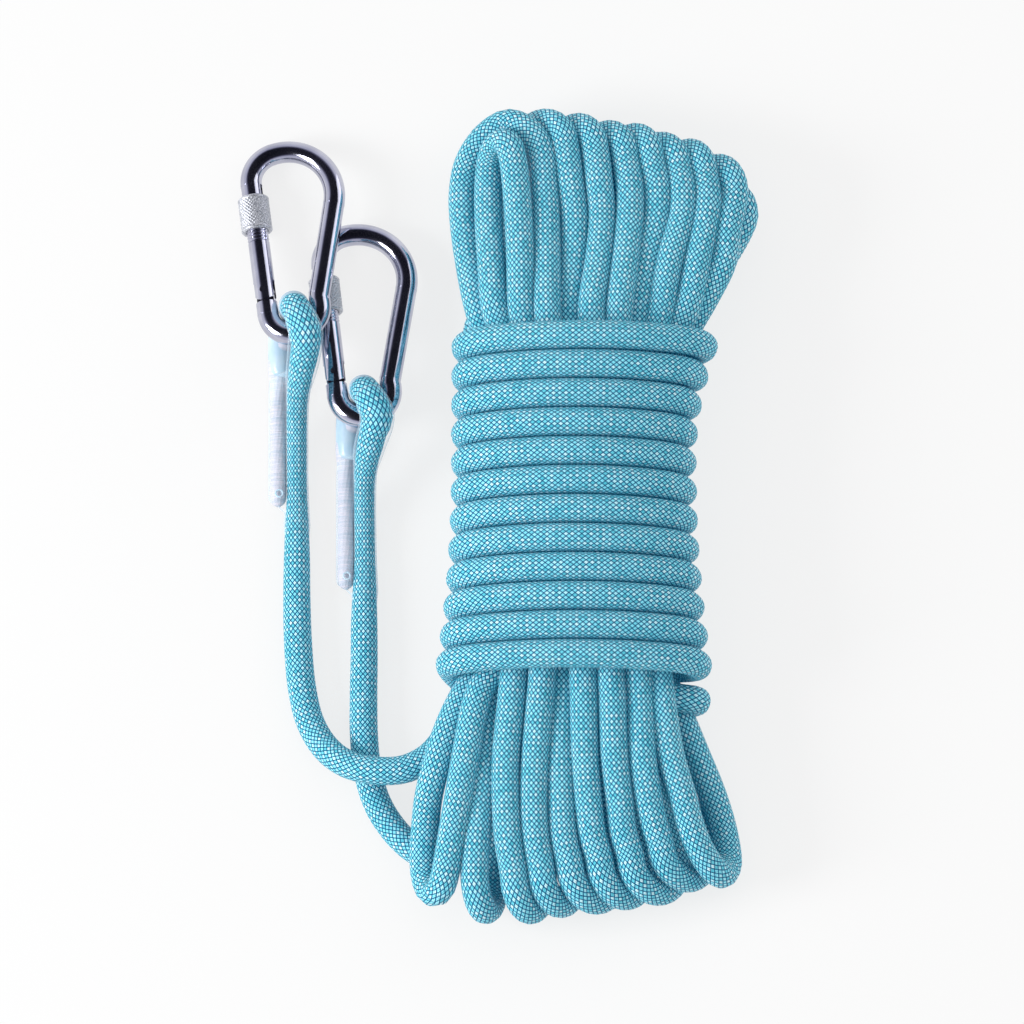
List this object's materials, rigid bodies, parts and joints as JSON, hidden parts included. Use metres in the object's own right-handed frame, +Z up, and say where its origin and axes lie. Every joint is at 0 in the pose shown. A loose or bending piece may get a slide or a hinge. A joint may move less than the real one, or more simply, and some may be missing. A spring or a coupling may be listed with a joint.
{
  "type": "climbing rope",
  "caption": "Blue kernmantle climbing rope tied in a wrapped hank, with a sewn eye and a screw-lock steel snap hook at each end.",
  "frame": {"origin": "centre of the whole part's footprint on the ground it lies on", "axes": "+X from the hooks to the hank, +Y along the hank towards the hooks' end, +Z up from the ground"},
  "size_m": [0.195, 0.3047, 0.056],
  "materials": {
    "rope": "braided",
    "stripped_end": "matte",
    "thread": "matte",
    "film": "clear",
    "polished_steel": "polished",
    "satin_steel": "satin"
  },
  "bodies": {
    "rope": {"wraps": "rope", "hank_waist": "rope", "hank_top_loops": "rope", "hank_bottom_loops": "rope", "tail_a": "rope", "tail_b": "rope", "eye_a": "rope", "eye_b": "rope", "stripped_tail_a": "stripped_end", "stripped_tail_b": "stripped_end", "stitching_a": "thread", "stitching_b": "thread", "shrink_sleeve_a": "film", "shrink_sleeve_b": "film"},
    "hook_a": {"hook_body_a": "polished_steel", "hinge_rivet_a": "satin_steel", "catch_pin_a": "satin_steel"},
    "gate_a": {"gate_a": "polished_steel", "gate_spring_a": "satin_steel", "plunger_a": "satin_steel"},
    "sleeve_a": {"screw_sleeve_a": "satin_steel"},
    "hook_b": {"hook_body_b": "polished_steel", "hinge_rivet_b": "satin_steel", "catch_pin_b": "satin_steel"},
    "gate_b": {"gate_b": "polished_steel", "gate_spring_b": "satin_steel", "plunger_b": "satin_steel"},
    "sleeve_b": {"screw_sleeve_b": "satin_steel"}
  },
  "joints": [
    {"name": "hook_a_turn", "type": "hinge", "parent": "rope", "child": "hook_a", "pos_m": [-0.0754, 0.0786, 0.01589], "axis": [0.2229, -0.134, -0.9656], "range_deg": [0, 30]},
    {"name": "gate_a_open", "type": "hinge", "parent": "hook_a", "child": "gate_a", "pos_m": [-0.08618, 0.08574, 0.01241], "axis": [0.2229, -0.134, -0.9656], "range_deg": [0, 25], "stiffness_Nm_per_rad": 0.1, "springref_deg": -30},
    {"name": "sleeve_a_travel", "type": "slide", "parent": "gate_a", "child": "sleeve_a", "axis": [0.1243, -0.9785, 0.1645], "range_m": [-0.0035, 0.0045]},
    {"name": "hook_b_turn", "type": "hinge", "parent": "rope", "child": "hook_b", "pos_m": [-0.0494, 0.0475, 0.01376], "axis": [0.1035, -0.1392, -0.9848], "range_deg": [0, 12]},
    {"name": "gate_b_open", "type": "hinge", "parent": "hook_b", "child": "gate_b", "pos_m": [-0.06029, 0.05496, 0.01156], "axis": [0.1035, -0.1392, -0.9848], "range_deg": [0, 25], "stiffness_Nm_per_rad": 0.1, "springref_deg": -30},
    {"name": "sleeve_b_travel", "type": "slide", "parent": "gate_b", "child": "sleeve_b", "axis": [0.1137, -0.982, 0.1507], "range_m": [-0.0035, 0.0045]}
  ]
}
